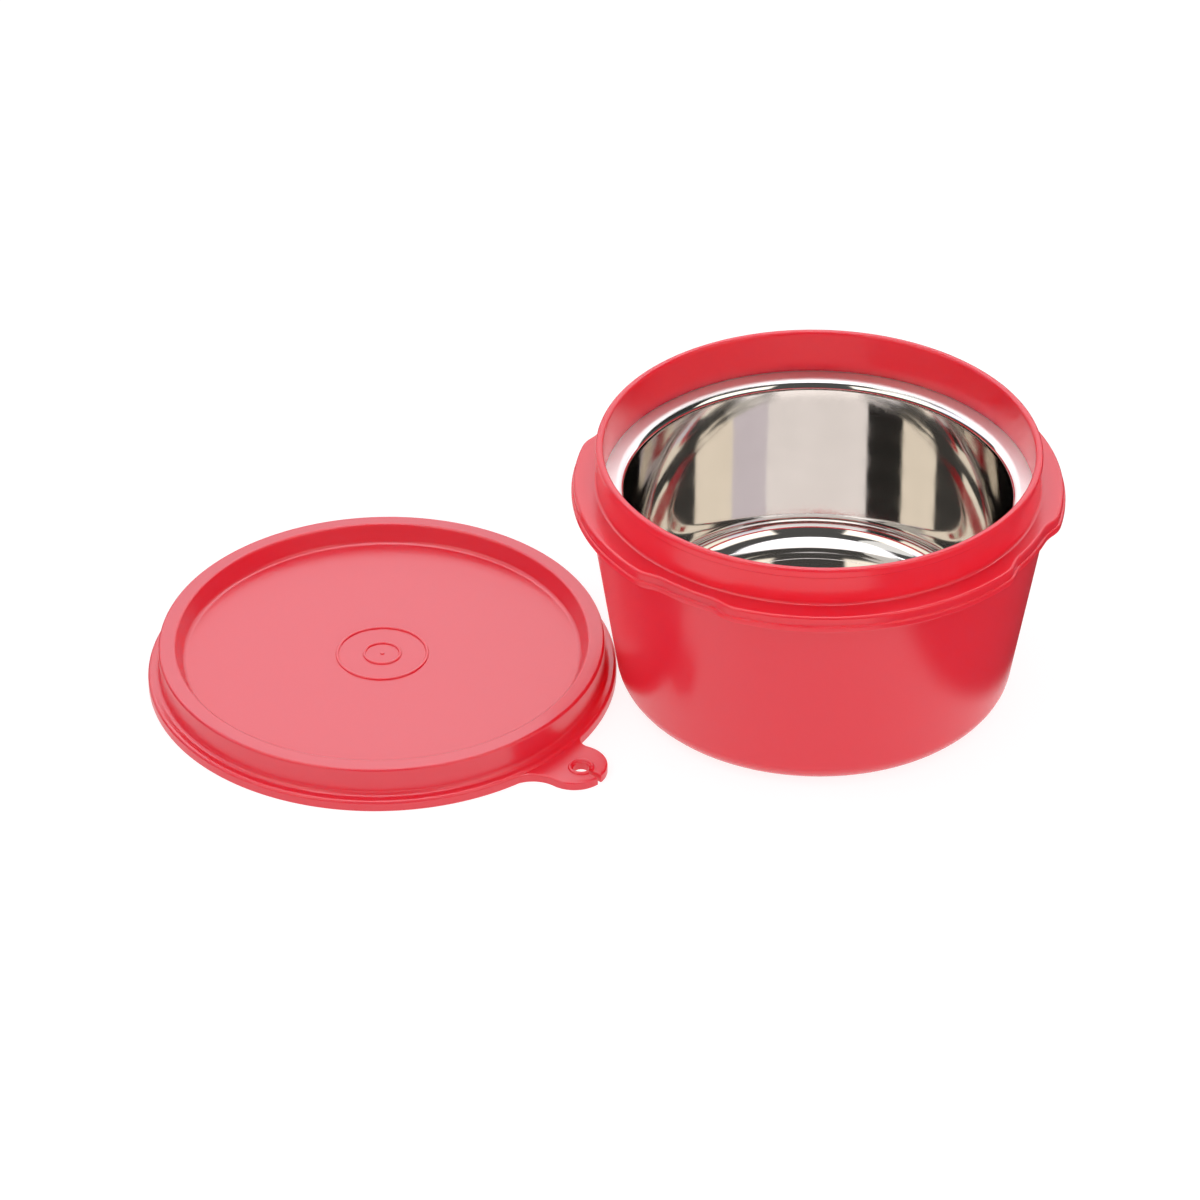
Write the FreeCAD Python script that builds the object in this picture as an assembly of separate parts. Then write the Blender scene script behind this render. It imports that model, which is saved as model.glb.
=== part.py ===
import FreeCAD, Part
import math
import os

# A round food bowl: moulded outer bowl, steel liner hung by its flange, welded rim collar,
# and a push-on lid that lies beside the bowl with its right side up.
# Millimetres and degrees. The table is z = 0, the lid lies at -X, the viewer stands at -Y.

# Neck and collar
neck_r = 60.35              # outside of the upright neck
neck_wall = 1.8
neck_height = 11.0          # shelf to the top of the lip
neck_root_round = 0.8       # between neck and shelf
bead_proud = 0.25           # snap bead below the lip, proud of the neck
bead_height = 2.4
lip_round = 0.95
shelf_z = 64.0              # table to the top of the shelf
shelf_wall = 1.7
skirt_depth = 4.5           # top of the shelf to the skirt's lower edge
skirt_wall = 1.5
skirt_clearance = 0.3       # between skirt and bowl wall in the notches
skirt_edge_round = 0.5
step_drop = 2.6             # top of the shelf to the step in the skirt
step_proud = 0.6            # lower band of the skirt beyond the upper band
shelf_edge_round = 0.8
notch_depth = 2.0           # four shallow scoops between the long arcs of the collar
notch_floor_half = 6.4      # half angle of a scoop's floor
notch_bend_r = 10.0         # both bends of a scoop's side
notch_from_front = 48.0     # angle from the collar's front line to a scoop's middle
collar_turn = 13.0          # the collar's front line, turned from -Y

# Steel liner
steel_wall = 0.6
flange_show = 6.1           # flange left bare inside the neck
flange_trap = 3.65          # flange held under the collar
flange_clearance = 0.2      # flange edge to the weld ridge
mouth_bend_r = 2.8          # outside of the bend from flange to wall
liner_draft = 2.5
liner_corner_r = 8.0        # inside, wall to base
base_step_in = 11.0         # from the base's corner in to the raised base panel
base_step_rise = 1.0
base_step_run = 1.2
base_step_round = 0.8

# Seal ring under the flange
seal_wall = 1.0
seal_width = 1.8

# Outer bowl
bowl_wall = 2.0
bowl_draft = 8.8
weld_ridge = 1.0            # ridge that meets the underside of the collar
base_corner_r = 8.0
inner_corner_r = 6.0
foot_inset = 9.8            # from the wall's foot to the inside of the standing ring
foot_recess = 0.8
floor_wall = 2.0
gate_r = 1.6                # moulding gate under the floor
gate_proud = 0.4
base_gap = 8.2              # air under the liner's base

# Lid
lid_wall = 1.1
lid_clearance = 0.15        # lid to lip, both sides
lid_seat_gap = 0.5          # closed lid's flange to the shelf
crown_round = 0.8
crown_inner_round = 0.8
panel_drop = 5.3            # top of the crown to the panel
panel_slope = 2.2           # from the crown in to the panel's edge
panel_round = 1.4
lid_flange_width = 3.25
lid_flange_height = 3.0
lid_flange_round = 1.0
skirt_root_round = 1.4
rib_height = 0.8            # flat of the snap rib inside the skirt
outer_ring_r = 12.5
inner_ring_r = 5.0
ring_bead_r = 0.45
dot_r = 0.6
dot_proud = 0.3

# Pull tab on the lid
tab_azimuth = -41.0
tab_reach = 14.9            # flange to the tab's tip
tab_end_r = 9.0
tab_wall = 2.4
tab_root_bite = 0.6         # overlap with the flange
tab_front_flare = 9.0       # bend from the flange into the tab, on each side
tab_back_flare = 3.5
tab_edge_round = 0.6
keyhole_r = 2.2
keyhole_from_tip = 6.6
keyhole_slit = 1.3
keyhole_bead_r = 0.55       # half-round bead that stiffens the keyhole
keyhole_bead_gap = 0.35     # from the keyhole to its bead

# Lid beside the bowl
lid_gap = 1.0               # lid flange to the foot of the bowl's wall

# Fits and places that follow from the sizes above
lip_r = neck_r + bead_proud
neck_in_r = neck_r - neck_wall
lip_z = shelf_z + neck_height
shelf_under = shelf_z - shelf_wall
flange_r = neck_in_r + flange_trap
flange_under = shelf_under - steel_wall
mouth_r = neck_in_r - flange_show
ridge_in_r = flange_r + flange_clearance
rim_r = ridge_in_r + weld_ridge
land_z = flange_under - seal_wall
land_in_r = flange_r - seal_width
floor_z = foot_recess + floor_wall
liner_base_z = floor_z + base_gap + steel_wall
wall_foot_r = rim_r - shelf_under * math.tan(math.radians(bowl_draft))
foot_in_r = wall_foot_r - foot_inset
collar_r = rim_r + skirt_clearance + skirt_wall + notch_depth
skirt_low_z = shelf_z - skirt_depth
step_z = shelf_z - step_drop

lid_skirt_r = lip_r + lid_clearance + lid_wall
crown_in_r = neck_in_r - lid_clearance - lid_wall
crown_under = neck_height - lid_seat_gap
lid_height = crown_under + lid_wall
panel_z = lid_height - panel_drop
panel_r = crown_in_r - panel_slope
lid_flange_r = lid_skirt_r + lid_flange_width
tab_end_at = lid_flange_r + tab_reach - tab_end_r

spacing = wall_foot_r + lid_gap + lid_flange_r
bowl_x = (spacing + lid_flange_r - collar_r) / 2
lid_x = bowl_x - spacing


def vec(x, y, z=0.0):
    return FreeCAD.Vector(x, y, z)


def polar(r, degrees, z=0.0):
    a = math.radians(degrees)
    return vec(r * math.cos(a), r * math.sin(a), z)


def line(a, b):
    return Part.LineSegment(a, b).toShape()


def arc(a, middle, b):
    return Part.Arc(a, middle, b).toShape()


def arc_about(centre, a, b):
    # The short arc from a to b about a centre.
    half_way = ((a - centre) + (b - centre)).normalize()
    return arc(a, centre + half_way * (a - centre).Length, b)


def rounded_edges(corners):
    # Closed line through (r, z, round) corners, with a tangent arc at each rounded corner.
    points = [vec(r, 0, z) for r, z, _ in corners]
    count = len(points)
    ins = list(points)
    outs = list(points)
    bends = [None] * count
    for i, (_, _, radius) in enumerate(corners):
        if radius > 0:
            back = (points[i - 1] - points[i]).normalize()
            on = (points[(i + 1) % count] - points[i]).normalize()
            half = back.getAngle(on) / 2
            ins[i] = points[i] + back * (radius / math.tan(half))
            outs[i] = points[i] + on * (radius / math.tan(half))
            inward = (back + on).normalize()
            bends[i] = points[i] + inward * (radius / math.sin(half) - radius)
    edges = []
    for i in range(count):
        if bends[i] is not None:
            edges.append(arc(ins[i], bends[i], outs[i]))
        after = ins[(i + 1) % count]
        if (after - outs[i]).Length > 1e-6:
            edges.append(line(outs[i], after))
    return edges


def turned_solid(corners):
    # A section in the XZ plane, turned about Z.
    section = Part.Face(Part.Wire(rounded_edges(corners)))
    return section.revolve(vec(0, 0, 0), vec(0, 0, 1), 360)


def turned_sheet(corners, wall):
    # A sheet of even wall below the line that runs outwards through (r, z, round) corners.
    points = [vec(r, 0, z) for r, z, _ in corners]
    ways = [(b - a).normalize() for a, b in zip(points, points[1:])]
    downs = [vec(way.z, 0, -way.x) for way in ways]
    start = points[0] + downs[0] * wall
    under_corners = [(start.x, start.z, 0)]
    for i in range(1, len(points) - 1):
        mitre = downs[i - 1] + downs[i]
        at = points[i] + mitre * (wall / (1 + downs[i - 1].dot(downs[i])))
        turns_down = ways[i - 1].dot(downs[i]) < 0
        radius = corners[i][2] - wall if turns_down else corners[i][2] + wall
        under_corners.append((at.x, at.z, max(radius, 0)))
    end = points[-1] + downs[-1] * wall
    under_corners.append((end.x, end.z, 0))
    return turned_solid(list(corners) + under_corners[::-1])


def moved(shape, x):
    shape.translate(vec(x, 0, 0))
    return shape


def outer_bowl():
    # Tapered cup with a standing ring, a land for the seal and a ridge for the weld.
    taper = math.tan(math.radians(bowl_draft))
    inner_foot_r = wall_foot_r - bowl_wall + floor_z * taper
    land_foot_z = shelf_under - (rim_r - bowl_wall - land_in_r) / taper
    cup = turned_solid([
        (0, foot_recess, 0),
        (foot_in_r, foot_recess, 0),
        (foot_in_r, 0, 0),
        (wall_foot_r, 0, base_corner_r),
        (rim_r, shelf_under, 0),
        (ridge_in_r, shelf_under, 0),
        (ridge_in_r, land_z, 0),
        (land_in_r, land_z, 0),
        (land_in_r, land_foot_z, 0),
        (inner_foot_r, floor_z, inner_corner_r),
        (0, floor_z, 0),
    ])
    gate = Part.makeCylinder(gate_r, gate_proud + floor_wall / 2, vec(0, 0, foot_recess - gate_proud))
    return moved(cup.fuse(gate).removeSplitter(), bowl_x)


def collar_outline(inset, z):
    # Plan of the collar: long arcs joined by scoops, each scoop side two bends of one radius.
    scoop_r = collar_r - notch_depth
    convex_at = collar_r - notch_bend_r
    hollow_at = scoop_r + notch_bend_r
    cosine = (convex_at ** 2 + hollow_at ** 2 - 4 * notch_bend_r ** 2) / (2 * convex_at * hollow_at)
    side = math.degrees(math.acos(cosine))
    front = -90 + collar_turn
    middles = [front + notch_from_front, front + 180 - notch_from_front]
    middles += [middle + 180 for middle in middles]
    edges = []
    for i, middle in enumerate(middles):
        ends = []
        for way in (-1, 1):
            floor_angle = middle + way * notch_floor_half
            top_angle = floor_angle + way * side
            convex = polar(convex_at, top_angle, z)
            hollow = polar(hollow_at, floor_angle, z)
            towards = (hollow - convex).normalize()
            turn = convex + towards * (notch_bend_r - inset)
            top = polar(collar_r - inset, top_angle, z)
            floor = polar(scoop_r - inset, floor_angle, z)
            edges.append(arc_about(convex, top, turn))
            edges.append(arc_about(hollow, turn, floor))
            ends.append((top_angle, floor))
        edges.append(arc(ends[0][1], polar(scoop_r - inset, middle, z), ends[1][1]))
        start = ends[1][0]
        following = middles[(i + 1) % len(middles)] - notch_floor_half - side
        following += 360 if following < start else 0
        angles = (start, (start + following) / 2, following)
        edges.append(arc(*[polar(collar_r - inset, angle, z) for angle in angles]))
    return Part.Wire(Part.__sortEdges__(edges))


def collar_prism(inset, low, high):
    return Part.Face(collar_outline(inset, low)).extrude(vec(0, 0, high - low))


def level_edges(shape, z):
    return [e for e in shape.Edges if abs(e.BoundBox.ZMin - z) < 1e-6 and abs(e.BoundBox.ZMax - z) < 1e-6]


def rim_collar():
    # Shelf with a stepped, scooped skirt, and the upright neck with its beaded lip.
    upper = collar_prism(step_proud, skirt_low_z, shelf_z)
    upper = upper.makeFillet(shelf_edge_round, level_edges(upper, shelf_z))
    lower = collar_prism(0, skirt_low_z, step_z)
    lower = lower.makeFillet(skirt_edge_round, level_edges(lower, step_z) + level_edges(lower, skirt_low_z))
    hollow = collar_prism(skirt_wall, skirt_low_z, shelf_under)
    bore = Part.makeCylinder(neck_in_r, shelf_z, vec(0, 0, 0))
    shelf = upper.fuse(lower).cut(hollow).cut(bore)
    root_r = neck_r + 2 * neck_root_round
    bead_low = lip_z - bead_height
    neck = turned_solid([
        (neck_in_r, shelf_under, 0),
        (root_r, shelf_under, 0),
        (root_r, shelf_z, 0),
        (neck_r, shelf_z, neck_root_round),
        (neck_r, bead_low - bead_proud, 0),
        (lip_r, bead_low, 0),
        (lip_r, lip_z, lip_round),
        (neck_in_r, lip_z, lip_round),
    ])
    return moved(shelf.fuse(neck).removeSplitter(), bowl_x)


def steel_liner():
    # Drawn bowl of even sheet: flat flange, round mouth bend, drafted wall, base with a raised panel.
    taper = math.tan(math.radians(liner_draft))
    base_r = mouth_r - (shelf_under - liner_base_z) * taper
    panel_foot_r = base_r - base_step_in
    panel_top = liner_base_z + base_step_rise
    sheet = turned_sheet([
        (0, panel_top, 0),
        (panel_foot_r - base_step_run, panel_top, base_step_round),
        (panel_foot_r, liner_base_z, base_step_round),
        (base_r, liner_base_z, liner_corner_r),
        (mouth_r, shelf_under, mouth_bend_r),
        (flange_r, shelf_under, 0),
    ], steel_wall)
    return moved(sheet, bowl_x)


def liner_seal():
    # Flat ring squeezed between the flange and the bowl's land.
    ring = turned_solid([
        (land_in_r, land_z, 0),
        (flange_r, land_z, 0),
        (flange_r, flange_under, 0),
        (land_in_r, flange_under, 0),
    ])
    return moved(ring, bowl_x)


def circles_meet(r_lid, r_end, side):
    # Centre of a bend that touches the lid's flange and the tab's round end from outside.
    along = (r_lid ** 2 - r_end ** 2 + tab_end_at ** 2) / (2 * tab_end_at)
    return vec(along, side * math.sqrt(r_lid ** 2 - along ** 2))


def pull_tab():
    # Round-ended tab that flares into the flange, with a beaded keyhole open at the tip.
    end = vec(tab_end_at, 0)
    front = circles_meet(lid_flange_r + tab_front_flare, tab_end_r + tab_front_flare, -1)
    back = circles_meet(lid_flange_r + tab_back_flare, tab_end_r + tab_back_flare, 1)
    edges = []
    roots = []
    for flare in (front, back):
        on_flange = flare * (lid_flange_r / flare.Length)
        on_end = end + (flare - end).normalize() * tab_end_r
        edges.append(arc_about(flare, on_flange, on_end))
        inside = on_flange * (1 - tab_root_bite / lid_flange_r)
        edges.append(line(inside, on_flange))
        roots.append((inside, on_end))
    edges.append(arc(roots[0][1], vec(tab_end_at + tab_end_r, 0), roots[1][1]))
    edges.append(arc(roots[0][0], vec(lid_flange_r - tab_root_bite, 0), roots[1][0]))
    plate = Part.Face(Part.Wire(Part.__sortEdges__(edges))).extrude(vec(0, 0, tab_wall))
    rim = [e for e in level_edges(plate, tab_wall) if e.CenterOfMass.Length > lid_flange_r]
    plate = plate.makeFillet(tab_edge_round, rim)
    hole_at = tab_end_at + tab_end_r - keyhole_from_tip
    hole = Part.makeCylinder(keyhole_r, tab_wall, vec(hole_at, 0, 0))
    slit_height = tab_wall + keyhole_bead_r
    slit = Part.makeBox(keyhole_from_tip, keyhole_slit, slit_height, vec(hole_at, -keyhole_slit / 2, 0))
    bead_ring_r = keyhole_r + keyhole_bead_gap + keyhole_bead_r
    bead = Part.makeTorus(bead_ring_r, keyhole_bead_r, vec(hole_at, 0, tab_wall))
    plate = plate.fuse(bead).cut(hole.fuse(slit))
    plate.rotate(vec(0, 0, 0), vec(0, 0, 1), tab_azimuth)
    return plate


def lid():
    # One flexible moulding: sunk panel, crown that hooks over the lip, skirt, turned-down flange and tab.
    shell = turned_sheet([
        (0, panel_z, 0),
        (panel_r, panel_z, panel_round),
        (crown_in_r, lid_height, crown_inner_round),
        (lid_skirt_r, lid_height, crown_round),
        (lid_skirt_r, lid_flange_height, skirt_root_round),
        (lid_flange_r, lid_flange_height, lid_flange_round),
        (lid_flange_r, 0, 0),
    ], lid_wall)
    skirt_in_r = lid_skirt_r - lid_wall
    skirt_mid_r = lid_skirt_r - lid_wall / 2
    rib_r = neck_r + lid_clearance
    rib_slope = skirt_mid_r - rib_r
    rib_top = crown_under - bead_height - bead_proud - lid_clearance + (skirt_mid_r - skirt_in_r)
    rib = turned_solid([
        (skirt_mid_r, rib_top, 0),
        (rib_r, rib_top - rib_slope, 0),
        (rib_r, rib_top - rib_slope - rib_height, 0),
        (skirt_mid_r, rib_top - 2 * rib_slope - rib_height, 0),
    ])
    rings = [Part.makeTorus(r, ring_bead_r, vec(0, 0, panel_z)) for r in (outer_ring_r, inner_ring_r)]
    dot = Part.makeCylinder(dot_r, dot_proud + lid_wall / 2, vec(0, 0, panel_z - lid_wall / 2))
    whole = shell.multiFuse([rib, dot, pull_tab()] + rings).removeSplitter()
    return moved(whole, lid_x)


os.makedirs("parts", exist_ok=True)
nodes = {
    "outer_bowl": outer_bowl(),
    "rim_collar": rim_collar(),
    "steel_liner": steel_liner(),
    "liner_seal": liner_seal(),
    "lid": lid(),
}
for name, shape in nodes.items():
    shape.exportStep("parts/" + name + ".step")
    print(name, "valid", shape.isValid(), "solids", len(shape.Solids), "volume", round(shape.Volume, 1))
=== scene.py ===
import math
import bmesh
import bpy
from mathutils import Matrix, Vector


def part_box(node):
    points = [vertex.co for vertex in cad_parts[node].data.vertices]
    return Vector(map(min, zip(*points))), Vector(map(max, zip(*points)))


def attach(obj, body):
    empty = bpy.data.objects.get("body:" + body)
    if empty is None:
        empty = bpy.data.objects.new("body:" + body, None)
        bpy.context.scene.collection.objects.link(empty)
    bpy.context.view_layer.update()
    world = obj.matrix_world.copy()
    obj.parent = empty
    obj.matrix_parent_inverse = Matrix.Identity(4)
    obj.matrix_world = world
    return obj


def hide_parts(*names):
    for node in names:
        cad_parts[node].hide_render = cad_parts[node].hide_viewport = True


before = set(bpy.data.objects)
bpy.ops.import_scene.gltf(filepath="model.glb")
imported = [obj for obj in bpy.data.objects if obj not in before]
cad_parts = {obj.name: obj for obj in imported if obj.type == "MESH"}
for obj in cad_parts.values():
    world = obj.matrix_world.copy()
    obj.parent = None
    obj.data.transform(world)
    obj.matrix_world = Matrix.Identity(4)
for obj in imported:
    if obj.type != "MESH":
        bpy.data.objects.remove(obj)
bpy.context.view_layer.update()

# Outer bowl
# A tapered cup moulded in glossy coral-red polypropylene, with a round base corner and a low standing ring.
# Its half section is turned about the bowl's axis. The collar is welded to the ridge on top of the wall.
MM = 0.001
round_steps = 256
bend_steps = 8
round_profile = 0.5
weld_gap = 0.001 * MM
crease = math.radians(40)
bowl_low, bowl_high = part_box("outer_bowl")
bowl_x = (bowl_low.x + bowl_high.x) / 2
rim_r = (bowl_high.x - bowl_low.x) / 2
rim_z = bowl_high.z
wall_lean = math.tan(math.radians(8.8))
bowl_wall = 2 * MM
foot_r = rim_r - rim_z * wall_lean
foot_round = 8 * MM
inner_foot_round = foot_round - bowl_wall
standing_r = foot_r - 9.8 * MM
standing_round = 0.3 * MM
foot_recess = 0.8 * MM
floor_top = foot_recess + bowl_wall
inner_foot_r = foot_r - bowl_wall + floor_top * wall_lean
weld_ridge = 1 * MM
land_drop = 1.6 * MM
land_r = rim_r - 3 * MM
gate_r = 1.6 * MM
gate_proud = 0.4 * MM


def section(corners, closed=False):
    # A line in the XZ plane through (radius, height, round) corners, each round made by a bevel.
    bm = bmesh.new()
    points = [bm.verts.new((r, 0, z)) for r, z, _ in corners]
    ends = points[1:] + points[:1] if closed else points[1:]
    for a, b in zip(points, ends):
        bm.edges.new((a, b))
    for point, (_, _, radius) in zip(points, corners):
        if radius > 0:
            ways = [edge.other_vert(point).co - point.co for edge in point.link_edges]
            reach = radius / math.tan(ways[0].angle(ways[1]) / 2)
            bmesh.ops.bevel(bm, geom=[point], offset=reach, offset_type="OFFSET", segments=bend_steps,
                            profile=round_profile, affect="VERTICES", material=-1)
    return bm


def turned(bm, steps):
    # The section turned all the way round, with its seam and poles closed.
    bmesh.ops.spin(bm, geom=bm.verts[:] + bm.edges[:], cent=(0, 0, 0), axis=(0, 0, 1), angle=math.tau,
                   steps=steps, use_merge=True)
    bmesh.ops.remove_doubles(bm, verts=bm.verts[:], dist=weld_gap)
    bmesh.ops.recalc_face_normals(bm, faces=bm.faces[:])
    return bm


def made(name, bm, x):
    # A mesh object at the origin, with the shape itself moved to its axis.
    bmesh.ops.translate(bm, verts=bm.verts[:], vec=(x, 0, 0))
    for face in bm.faces:
        face.smooth = True
    mesh = bpy.data.meshes.new(name)
    bm.to_mesh(mesh)
    bm.free()
    piece = bpy.data.objects.new(name, mesh)
    bpy.context.scene.collection.objects.link(piece)
    return piece


def fitted(piece, body, node, material):
    # Creases stay crisp, flat faces stay flat, and the piece takes the place of its CAD node.
    piece.data.set_sharp_from_angle(angle=crease)
    piece.modifiers.new("even shading", "WEIGHTED_NORMAL").keep_sharp = True
    piece.data.materials.clear()
    piece.data.materials.append(material)
    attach(piece, body)
    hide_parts(node)


def put(tree, kind, sockets=None, **settings):
    # A node with its settings, and its sockets set to a value or linked to another node's output.
    node = tree.nodes.new("ShaderNode" + kind)
    for key, value in settings.items():
        setattr(node, key, value)
    for key, value in (sockets or {}).items():
        if isinstance(value, bpy.types.NodeSocket):
            tree.links.new(value, node.inputs[key])
        else:
            node.inputs[key].default_value = value
    return node


def spread(tree, value, low, high, to_low, to_high):
    # A value's range mapped to another range.
    ends = {0: value, 1: low, 2: high, 3: to_low, 4: to_high}
    return put(tree, "MapRange", ends).outputs[0]


def blended(tree, share, none, full):
    # Two colours mixed by a share from 0 to 1.
    return put(tree, "Mix", {0: share, 6: none, 7: full}, data_type="RGBA").outputs[2]


def skin_group():
    # Moulded skin, shared by every plastic piece: slow flow shades and a fine grain.
    tree = bpy.data.node_groups.new("moulded skin", "ShaderNodeTree")
    for name in ("Flow", "Grain"):
        tree.interface.new_socket(name, in_out="OUTPUT", socket_type="NodeSocketFloat")
    place = put(tree, "TexCoord").outputs["Object"]
    flow = put(tree, "TexNoise", {"Vector": place, "Scale": 22, "Detail": 2}).outputs[0]
    grain = put(tree, "TexNoise", {"Vector": place, "Scale": 1500, "Detail": 2}).outputs[0]
    out = tree.nodes.new("NodeGroupOutput")
    tree.links.new(flow, out.inputs["Flow"])
    tree.links.new(grain, out.inputs["Grain"])
    return tree


moulded_skin = skin_group()
gloss_drift = 0.01


def plastic(name, deep, bright, gloss, index, depth):
    # Solid-coloured plastic: flow shades in colour and gloss, grain in the relief, light let in to a depth.
    material = bpy.data.materials.new(name)
    material.use_nodes = True
    tree = material.node_tree
    shader = tree.nodes["Principled BSDF"]
    skin = tree.nodes.new("ShaderNodeGroup")
    skin.node_tree = moulded_skin
    shade = blended(tree, skin.outputs["Flow"], (*deep, 1), (*bright, 1))
    dull = spread(tree, skin.outputs["Flow"], 0, 1, gloss - gloss_drift, gloss + gloss_drift)
    relief = put(tree, "Bump", {"Height": skin.outputs["Grain"], "Strength": 0.05, "Distance": 0.01 * MM})
    tree.links.new(shade, shader.inputs["Base Color"])
    tree.links.new(dull, shader.inputs["Roughness"])
    tree.links.new(relief.outputs[0], shader.inputs["Normal"])
    shader.inputs["IOR"].default_value = index
    shader.inputs["Subsurface Weight"].default_value = 1
    shader.inputs["Subsurface Radius"].default_value = (1, 0.06, 0.08)
    shader.inputs["Subsurface Scale"].default_value = depth
    return material


bowl_plastic = plastic("bowl plastic", deep=(0.93, 0.024, 0.05), bright=(0.95, 0.029, 0.057),
                       gloss=0.24, index=1.6, depth=1.5 * MM)
cup = turned(section([
    (0, foot_recess - gate_proud, 0),
    (gate_r, foot_recess - gate_proud, 0),
    (gate_r, foot_recess, 0),
    (standing_r, foot_recess, 0),
    (standing_r, 0, standing_round),
    (foot_r, 0, foot_round),
    (rim_r, rim_z, 0),
    (rim_r - weld_ridge, rim_z, 0),
    (rim_r - weld_ridge, rim_z - land_drop, 0),
    (land_r, rim_z - land_drop, 0),
    (land_r, rim_z - (rim_r - bowl_wall - land_r) / wall_lean, 0),
    (inner_foot_r, floor_top, inner_foot_round),
    (0, floor_top, 0),
]), round_steps)
fitted(made("moulded_bowl", cup, bowl_x), "bowl", "outer_bowl", bowl_plastic)

# Liner seal
# A flat silicone ring squeezed between the steel flange and the bowl's land. It keeps the air gap dry.
# The CAD ring stays as it is, with a cloudy silicone look.
silicone = bpy.data.materials.new("seal silicone")
silicone.use_nodes = True
seal_tree = silicone.node_tree
seal_shader = seal_tree.nodes["Principled BSDF"]
seal_place = put(seal_tree, "TexCoord").outputs["Object"]
cloud = put(seal_tree, "TexNoise", {"Vector": seal_place, "Scale": 300, "Detail": 2}).outputs[0]
milk = blended(seal_tree, cloud, (0.66, 0.64, 0.60, 1), (0.78, 0.76, 0.72, 1))
seal_tree.links.new(milk, seal_shader.inputs["Base Color"])
seal_shader.inputs["Roughness"].default_value = 0.55
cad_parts["liner_seal"].data.materials[0] = silicone

# Steel liner
# One drawn sheet of mirror-polished stainless steel: flat flange, round mouth bend, deep wall and a raised
# base panel. Its section is turned on the bowl's axis. The flange hangs between the seal and the collar.
liner_low, liner_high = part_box("steel_liner")
steel_wall = 0.6 * MM
flange_z = liner_high.z
flange_r = (liner_high.x - liner_low.x) / 2
mouth_r = flange_r - 9.75 * MM
mouth_bend = 2.8 * MM
base_z = liner_low.z + steel_wall
base_r = mouth_r - (flange_z - base_z) * math.tan(math.radians(2.5))
base_round = 8 * MM
base_panel_r = base_r - 11 * MM
base_panel_z = base_z + 1 * MM
base_step_slope = 1.2 * MM
base_step_round = 0.8 * MM


def sheet(corners, wall):
    # The line's corners, then the corners of its underside one wall below, back to the axis.
    points = [Vector((r, z)) for r, z, _ in corners]
    ways = [(b - a).normalized() for a, b in zip(points, points[1:])]
    downs = [Vector((way.y, -way.x)) for way in ways]
    under = [(*(points[0] + downs[0] * wall), 0)]
    for i in range(1, len(points) - 1):
        at = points[i] + (downs[i - 1] + downs[i]) * (wall / (1 + downs[i - 1].dot(downs[i])))
        turns_down = ways[i - 1].dot(downs[i]) < 0
        radius = corners[i][2] - wall if turns_down else corners[i][2] + wall
        under.append((*at, max(radius, 0)))
    under.append((*(points[-1] + downs[-1] * wall), 0))
    return list(corners) + under[::-1]


steel = bpy.data.materials.new("polished steel")
steel.use_nodes = True
steel_tree = steel.node_tree
steel_shader = steel_tree.nodes["Principled BSDF"]
steel_place = put(steel_tree, "TexCoord").outputs["Object"]
on_axis = put(steel_tree, "Mapping", {0: steel_place, "Location": (-bowl_x, 0, 0)}).outputs[0]
polish_lines = put(steel_tree, "TexWave", {"Vector": on_axis, "Scale": 700, "Distortion": 3, "Detail": 2},
                   wave_type="RINGS", rings_direction="Z").outputs[1]
buffing = put(steel_tree, "TexNoise", {"Vector": on_axis, "Scale": 45, "Detail": 2}).outputs[0]
tint = blended(steel_tree, buffing, (0.67, 0.645, 0.61, 1), (0.73, 0.705, 0.67, 1))
ripple = put(steel_tree, "Bump", {"Height": buffing, "Strength": 0.25, "Distance": 0.25 * MM})
fine = put(steel_tree, "Bump", {"Height": polish_lines, "Strength": 0.1, "Distance": 0.002 * MM,
           "Normal": ripple.outputs[0]})
height = put(steel_tree, "SeparateXYZ", {0: on_axis}).outputs[2]
brushed_flange = spread(steel_tree, height, flange_z - 0.8 * MM, flange_z - 0.2 * MM, 0, 0.4)
polish = spread(steel_tree, polish_lines, 0, 1, 0.05, 0.08)
dullness = put(steel_tree, "Math", {0: polish, 1: brushed_flange}).outputs[0]
steel_tree.links.new(tint, steel_shader.inputs["Base Color"])
steel_tree.links.new(dullness, steel_shader.inputs["Roughness"])
steel_tree.links.new(fine.outputs[0], steel_shader.inputs["Normal"])
steel_shader.inputs["Metallic"].default_value = 1
liner = turned(section(sheet([
    (0, base_panel_z, 0),
    (base_panel_r - base_step_slope, base_panel_z, base_step_round),
    (base_panel_r, base_z, base_step_round),
    (base_r, base_z, base_round),
    (mouth_r, flange_z, mouth_bend),
    (flange_r, flange_z, 0),
], steel_wall)), round_steps)
fitted(made("drawn_liner", liner, bowl_x), "bowl", "steel_liner", steel)

# Rim collar
# A welded ring in the bowl's plastic: upright neck with a beaded lip, flat shelf, and a stepped skirt turned
# down over the bowl's wall. Turned from its section, then its edge is pressed in at four shallow scoops.
collar_steps = 480
collar_low, collar_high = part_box("rim_collar")
collar_r = (collar_high.y - collar_low.y) / 2
lip_z = collar_high.z
lip_round = 0.95 * MM
neck_r = 60.35 * MM
neck_in_r = neck_r - 1.8 * MM
bead = 0.25 * MM
bead_z = lip_z - 2.4 * MM
bead_round = 0.15 * MM
shelf_z = lip_z - 11 * MM
shelf_round = 0.8 * MM
upper_r = collar_r - 0.6 * MM
step_z = shelf_z - 2.6 * MM
step_round = 0.2 * MM
skirt_z = collar_low.z
skirt_in_r = collar_r - 1.5 * MM
skirt_round = 0.5 * MM
skirt_in_round = 0.3 * MM
pressed_from_r = collar_r - 2 * MM
scoop_depth = 2 * MM
scoop_floor = 6.4
scoop_side = 7.62
scoop_middles = (-29, 55, 151, 235)


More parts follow.
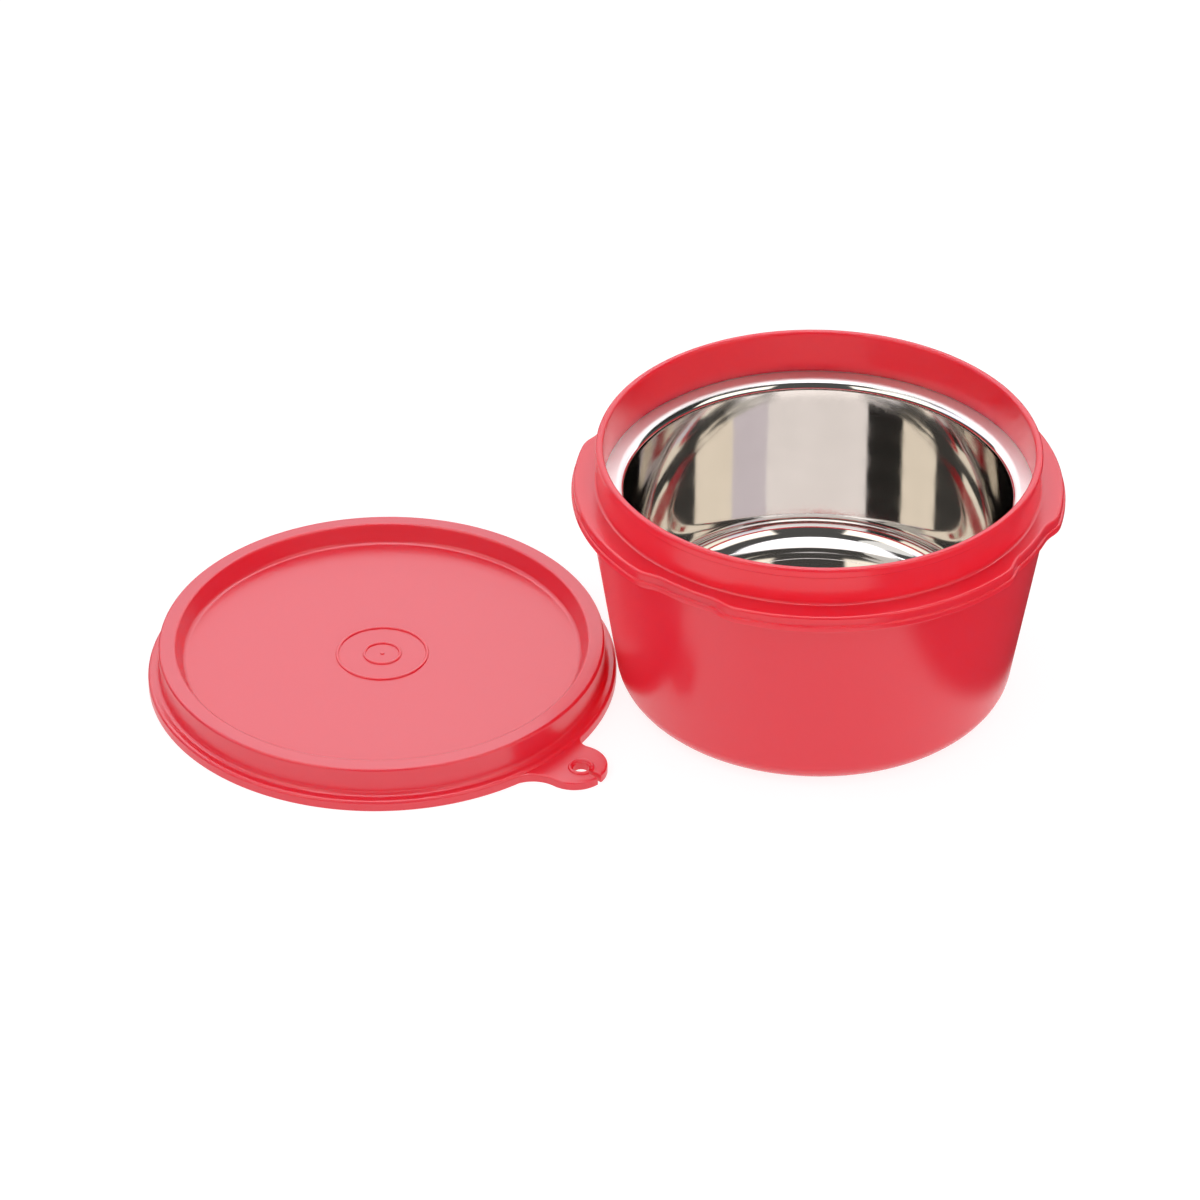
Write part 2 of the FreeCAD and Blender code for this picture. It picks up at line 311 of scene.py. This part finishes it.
def pressed_in(angle):
    # How far the collar's edge is pressed in at an angle: level over the scoop, an even bend on each side.
    away = min(abs((angle - middle + 180) % 360 - 180) for middle in scoop_middles)
    way = min(max((away - scoop_floor) / scoop_side, 0), 1)
    return scoop_depth * (1 - 2 * way ** 2 if way < 0.5 else 2 * (1 - way) ** 2)


collar = turned(section([
    (neck_in_r, rim_z, 0),
    (neck_in_r, lip_z, lip_round),
    (neck_r + bead, lip_z, lip_round),
    (neck_r + bead, bead_z, bead_round),
    (neck_r, bead_z - bead, bead_round),
    (neck_r, shelf_z, shelf_round),
    (upper_r, shelf_z, shelf_round),
    (upper_r, step_z, step_round),
    (collar_r, step_z, skirt_round),
    (collar_r, skirt_z, skirt_round),
    (skirt_in_r, skirt_z, skirt_in_round),
    (skirt_in_r, rim_z, 0),
], closed=True), collar_steps)
for vert in collar.verts:
    radius = vert.co.xy.length
    if radius > pressed_from_r:
        narrowed = 1 - pressed_in(math.degrees(math.atan2(vert.co.y, vert.co.x))) / radius
        vert.co.xy *= narrowed
# The bowl's plastic with a brighter red: painted light that lifts the shade inside the neck. Light is also
# let in deeper.
collar_plastic_painted_lighter = plastic("collar plastic", deep=(0.96, 0.024, 0.05), bright=(0.98, 0.029, 0.057),
                         gloss=0.24, index=1.6, depth=3 * MM)
fitted(made("welded_collar", collar, bowl_x), "bowl", "rim_collar", collar_plastic_painted_lighter)

# Lid
# One flexible polyethylene moulding, satin and slightly milky: sunk panel with two raised rings and a gate
# dot, crown, skirt, turned-down flange and a keyhole pull tab. It lies loose beside the bowl, right side up.
lid_low, lid_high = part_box("lid")
lid_height = lid_high.z
lid_flange_r = lid_high.y
lid_x = lid_low.x + lid_flange_r
lid_wall = 1.1 * MM
lid_skirt_r = lid_flange_r - 3.25 * MM
skirt_root_round = 1.4 * MM
flange_top = 3 * MM
flange_round = 1 * MM
crown_in_r = neck_in_r - 1.25 * MM
crown_fall = 0.35 * MM
crown_round = 0.8 * MM
panel_z = lid_height - 5.3 * MM
panel_r = crown_in_r - 2.2 * MM
panel_round = 1.4 * MM
ring = 0.45 * MM
ring_round = 0.95 * ring
small_ring_r = 5 * MM
large_ring_r = 12.5 * MM
dot_r = 0.6 * MM
dot_round = 0.15 * MM
dot_top = panel_z + 0.3 * MM
tab_turn = math.radians(-41)
tab_end_r = 9 * MM
tab_end_x = lid_flange_r + 14.9 * MM - tab_end_r
tab_wall = 2.4 * MM
tab_edge = 0.5 * MM
tab_edge_steps = 4
tab_bite = 0.8 * MM
tab_root_r = lid_flange_r - 0.15 * MM
back_flare_r = 3.5 * MM
front_flare_r = 9 * MM
hole_r = 2.2 * MM
hole_x = tab_end_x + tab_end_r - 6.6 * MM
slit = 1.3 * MM
hole_bead = 0.55 * MM
bead_ring_r = hole_r + 0.35 * MM + hole_bead


def raised(r):
    # Corners of a half-round ring that stands on the panel.
    return [(r - ring, panel_z, 0), (r - ring, panel_z + ring, ring_round),
            (r + ring, panel_z + ring, ring_round), (r + ring, panel_z, 0)]


def swung(bm, vert, centre, angle, steps):
    # The line carried on from a vertex along an arc about a centre.
    arc = bmesh.ops.spin(bm, geom=[vert], cent=(*centre, 0), axis=(0, 0, 1), angle=angle, steps=steps)
    return arc["geom_last"][0]


def drawn(bm, vert, to):
    # The line carried on from a vertex straight to a point.
    end = bm.verts.new((*to, 0))
    bm.edges.new((vert, end))
    return end


def turn_between(centre, a, b):
    # The short way round a centre, from one point to another.
    return (Vector(a) - centre).angle_signed(Vector(b) - centre) * -1


def flare(bend, side):
    # Centre of a tab flare that runs into the flange and touches the round end, and its two ends.
    reach = tab_root_r + bend
    along = (reach ** 2 - (tab_end_r + bend) ** 2 + tab_end_x ** 2) / (2 * tab_end_x)
    centre = Vector((along, side * math.sqrt(reach ** 2 - along ** 2)))
    end = Vector((tab_end_x, 0))
    return centre, centre * (tab_root_r / reach), end + (centre - end) * (tab_end_r / (tab_end_r + bend))


def pull_tab():
    # Plan of the tab drawn as one line round the edge and the keyhole, filled, raised and its free top edge
    # rounded. Its root reaches a little way into the flange.
    bm = bmesh.new()
    axis = Vector((0, 0))
    end = Vector((tab_end_x, 0))
    hole = Vector((hole_x, 0))
    inside = 1 - tab_bite / tab_root_r
    back, back_root, back_end = flare(back_flare_r, 1)
    front, front_root, front_end = flare(front_flare_r, -1)
    half = slit / 2
    mouth = Vector((tab_end_x + math.sqrt(tab_end_r ** 2 - half ** 2), half))
    start = bm.verts.new((*mouth, 0))
    vert = swung(bm, start, end, turn_between(end, mouth, back_end), 24)
    vert = swung(bm, vert, back, turn_between(back, back_end, back_root), 12)
    vert = drawn(bm, vert, back_root * inside)
    vert = swung(bm, vert, axis, turn_between(axis, back_root, front_root), 8)
    vert = drawn(bm, vert, front_root)
    vert = swung(bm, vert, front, turn_between(front, front_root, front_end), 16)
    vert = swung(bm, vert, end, turn_between(end, front_end, mouth * Vector((1, -1))), 24)
    neck = Vector((hole_x + math.sqrt(hole_r ** 2 - half ** 2), -half))
    vert = drawn(bm, vert, neck)
    vert = swung(bm, vert, hole, -math.tau + 2 * math.asin(half / hole_r), 28)
    bm.edges.new((vert, start))
    plan = bmesh.ops.contextual_create(bm, geom=bm.edges[:])["faces"]
    grown = bmesh.ops.extrude_face_region(bm, geom=plan)["geom"]
    top = [item for item in grown if isinstance(item, bmesh.types.BMVert)]
    bmesh.ops.translate(bm, verts=top, vec=(0, 0, tab_wall))
    bmesh.ops.recalc_face_normals(bm, faces=bm.faces[:])
    rim = [e for e in bm.edges if min(v.co.z for v in e.verts) > tab_wall / 2
           and (e.verts[0].co + e.verts[1].co).xy.length > 2 * tab_root_r]
    bmesh.ops.bevel(bm, geom=rim, offset=tab_edge, offset_type="OFFSET", segments=tab_edge_steps,
                    profile=round_profile, affect="EDGES", material=-1)
    bmesh.ops.triangulate(bm, faces=bm.faces[:], ngon_method="EAR_CLIP")
    bmesh.ops.rotate(bm, verts=bm.verts[:], cent=(0, 0, 0), matrix=Matrix.Rotation(tab_turn, 3, "Z"))
    return bm


def keyhole_bead():
    # A half-sunk round bead about the keyhole, swung from one side of the slit to the other.
    bm = bmesh.new()
    start = math.asin(slit / 2 / bead_ring_r)
    bmesh.ops.create_circle(bm, cap_ends=True, segments=12, radius=hole_bead)
    bmesh.ops.rotate(bm, verts=bm.verts[:], cent=(0, 0, 0), matrix=Matrix.Rotation(math.pi / 2, 3, "X"))
    bmesh.ops.translate(bm, verts=bm.verts[:], vec=(bead_ring_r, 0, 0))
    bmesh.ops.rotate(bm, verts=bm.verts[:], cent=(0, 0, 0), matrix=Matrix.Rotation(start, 3, "Z"))
    bmesh.ops.spin(bm, geom=bm.verts[:] + bm.edges[:] + bm.faces[:], cent=(0, 0, 0), axis=(0, 0, 1),
                   angle=math.tau - 2 * start, steps=40)
    bmesh.ops.recalc_face_normals(bm, faces=bm.faces[:])
    bmesh.ops.translate(bm, verts=bm.verts[:], vec=(hole_x, 0, tab_wall))
    bmesh.ops.rotate(bm, verts=bm.verts[:], cent=(0, 0, 0), matrix=Matrix.Rotation(tab_turn, 3, "Z"))
    return bm


lid_line = [
    (panel_r, panel_z, panel_round),
    (crown_in_r, lid_height, crown_round),
    (lid_skirt_r, lid_height - crown_fall, crown_round),
    (lid_skirt_r, flange_top, skirt_root_round),
    (lid_flange_r, flange_top, flange_round),
    (lid_flange_r, 0, 0),
]
lid_under = sheet([(0, panel_z, 0)] + lid_line, lid_wall)[len(lid_line) + 1:]
gate_dot = [(0, dot_top, 0), (dot_r, dot_top, dot_round), (dot_r, panel_z, 0)]
panel_rings = raised(small_ring_r) + raised(large_ring_r)
shell = turned(section(gate_dot + panel_rings + lid_line + lid_under), round_steps)
lid = made("moulded_lid", shell, lid_x)
added = [made("tab", pull_tab(), lid_x), made("keyhole_bead", keyhole_bead(), lid_x)]
for extra in added:
    union = lid.modifiers.new(extra.name, "BOOLEAN")
    union.operation = "UNION"
    union.solver = "MANIFOLD"
    union.object = extra
bpy.context.view_layer.update()
joined = bpy.data.meshes.new_from_object(lid.evaluated_get(bpy.context.evaluated_depsgraph_get()))
lid.modifiers.clear()
lid.data = joined
for extra in added:
    bpy.data.objects.remove(extra)
lid_plastic = plastic("lid plastic", deep=(0.83, 0.029, 0.058), bright=(0.85, 0.034, 0.065),
                      gloss=0.29, index=1.72, depth=2.5 * MM)
fitted(lid, "lid", "lid", lid_plastic)

# Table, light and camera
# A white table that keeps a faint shadow, a studio of soft panels all round, and one long-lens camera.
# Past the bowl's right side and the lid's left side the table carries a painted shadow, seen only in
# reflections, which draws the edges.
table_half = 4
floor_bm = bmesh.new()
bmesh.ops.create_grid(floor_bm, x_segments=1, y_segments=1, size=table_half)
floor = made("table", floor_bm, 0)
white = bpy.data.materials.new("white table")
white.use_nodes = True
white_shader = white.node_tree.nodes["Principled BSDF"]
white_shader.inputs["Roughness"].default_value = 1
white_shader.inputs["Specular IOR Level"].default_value = 0
white_shader.inputs["Emission Color"].default_value = (1, 1, 1, 1)
table = white.node_tree
table_ray = put(table, "LightPath")
reflected = table_ray.outputs["Is Glossy Ray"]
across = put(table, "SeparateXYZ", {0: put(table, "TexCoord").outputs["Object"]}).outputs[0]
# Painted shadow on the table: past these edges reflected rays see the table glow only faintly, where no lamp
# casts a shadow.
far_right = spread(table, across, bowl_x + 56 * MM, bowl_x + 62 * MM, 0, 1)
in_shade = spread(table, across, lid_x - 72 * MM, lid_x - 67 * MM, 1, far_right)
reflected_glow_with_painted_shadow = put(table, "Mix", {0: in_shade, 2: 0.8, 3: 0.02}).outputs[0]
spilled = put(table, "Mix", {0: table_ray.outputs["Is Camera Ray"], 2: 0.5, 3: 0.84}).outputs[0]
table_glow = put(table, "Mix", {0: reflected, 2: spilled, 3: reflected_glow_with_painted_shadow}).outputs[0]
# Painted shadow on the table: its grey paper colour turns near black there, for reflected rays only.
painted_shadow_in_reflections = put(table, "Math", {0: in_shade, 1: reflected}, operation="MULTIPLY").outputs[0]
paper_and_painted_shadow = blended(table, painted_shadow_in_reflections, (0.3, 0.3, 0.3, 1), (0.05, 0.05, 0.05, 1))
table.links.new(table_glow, white_shader.inputs["Emission Strength"])
table.links.new(paper_and_painted_shadow, white_shader.inputs["Base Color"])
floor.data.materials.append(white)

world = bpy.data.worlds.new("studio")
bpy.context.scene.world = world
world.use_nodes = True
sky = world.node_tree
outlook = put(sky, "TexCoord").outputs["Generated"]
way = put(sky, "SeparateXYZ", {0: outlook})
ahead = put(sky, "Math", {0: way.outputs[1], 1: -1}, operation="MULTIPLY").outputs[0]
around = put(sky, "Math", {0: way.outputs[0], 1: ahead}, operation="ARCTAN2").outputs[0]
rise = put(sky, "Math", {0: way.outputs[2]}, operation="ARCSINE").outputs[0]
cool_grey = (0.76, 0.73, 0.86, 1)
cream = (1, 0.945, 0.86, 1)
dim = (0.05, 0.05, 0.05, 1)
unlit = (0.02, 0.02, 0.02, 1)
strips = [
    (-77, cool_grey), (-75, cream), (-23, cream), (-21, dim),
    (26, dim), (28, cream), (74, cream), (76, unlit),
]
panels = put(sky, "ValToRGB", {0: spread(sky, around, -math.pi, math.pi, 0, 1)})
ramp = panels.color_ramp
ramp.elements.remove(ramp.elements[1])
ramp.elements[0].color = cool_grey
for degrees, colour in strips:
    ramp.elements.new(degrees / 360 + 0.5).color = colour


def between(low, high, soft):
    # A band of heights above the horizon, in degrees, with soft edges.
    low, high, soft = (math.radians(angle) for angle in (low, high, soft))
    rising = spread(sky, rise, low, low + soft, 0, 1)
    falling = spread(sky, rise, high - soft, high, 1, 0)
    return put(sky, "Math", {0: rising, 1: falling}, operation="MULTIPLY").outputs[0]


side_panels = blended(sky, between(20, 50, 4), dim, panels.outputs[0])
turned_away = put(sky, "Math", {0: around}, operation="ABSOLUTE").outputs[0]
behind = spread(sky, turned_away, math.radians(119), math.radians(121), 0, 1)
tall = put(sky, "Math", {0: behind, 1: between(1, 90, 4)}, operation="MULTIPLY").outputs[0]
overhead = spread(sky, rise, math.radians(66), math.radians(70), 0, 1)
softbox = put(sky, "Math", {0: tall, 1: overhead}, operation="MAXIMUM").outputs[0]
brighter_up = spread(sky, rise, math.radians(24), math.radians(44), 0.75, 1.4)
box_tint = (0.97, 0.96, 1.03)
box_light = put(sky, "VectorMath", {0: box_tint, "Scale": brighter_up}, operation="SCALE").outputs[0]
studio = put(sky, "Background", {"Color": blended(sky, softbox, side_panels, box_light), "Strength": 2})
facing = put(sky, "VectorMath", {0: outlook, 1: (0.5, -0.86, 0)}, operation="DOT_PRODUCT").outputs["Value"]
frontal = spread(sky, facing, 0, 1, 0.73, 1.03)
fill = put(sky, "Background", {"Color": (1, 1, 1, 1), "Strength": frontal})
backdrop = put(sky, "Background", {"Color": (1, 1, 1, 1), "Strength": 1})
sky_ray = put(sky, "LightPath").outputs
lit = put(sky, "MixShader", {0: sky_ray["Is Glossy Ray"], 1: fill.outputs[0], 2: studio.outputs[0]})
pick = put(sky, "MixShader", {0: sky_ray["Is Camera Ray"], 1: lit.outputs[0], 2: backdrop.outputs[0]})
sky.links.new(pick.outputs[0], sky.nodes["World Output"].inputs["Surface"])

key = bpy.data.lights.new("key panel", "AREA")
key.shape = "DISK"
key.size = 0.5
key.energy = 0.6
key_lamp = bpy.data.objects.new("key panel", key)
key_lamp.location = (-0.5, -0.2, 1)
key_lamp.rotation_euler = (-key_lamp.location).to_track_quat("-Z", "Y").to_euler()
bpy.context.scene.collection.objects.link(key_lamp)

lens = bpy.data.cameras.new("long lens")
lens.lens = 163.04
lens.sensor_width = 36
lens.clip_end = 20
camera = bpy.data.objects.new("camera", lens)
aim = Vector((-0.48 * MM, 0, 24.26 * MM))
pitch = math.radians(34.35)
camera_away = 1.5
camera.location = aim + camera_away * Vector((0, -math.cos(pitch), math.sin(pitch)))
camera.rotation_euler = (math.pi / 2 - pitch, 0, 0)
bpy.context.scene.collection.objects.link(camera)
bpy.context.scene.camera = camera
bpy.context.scene.view_settings.view_transform = "Standard"
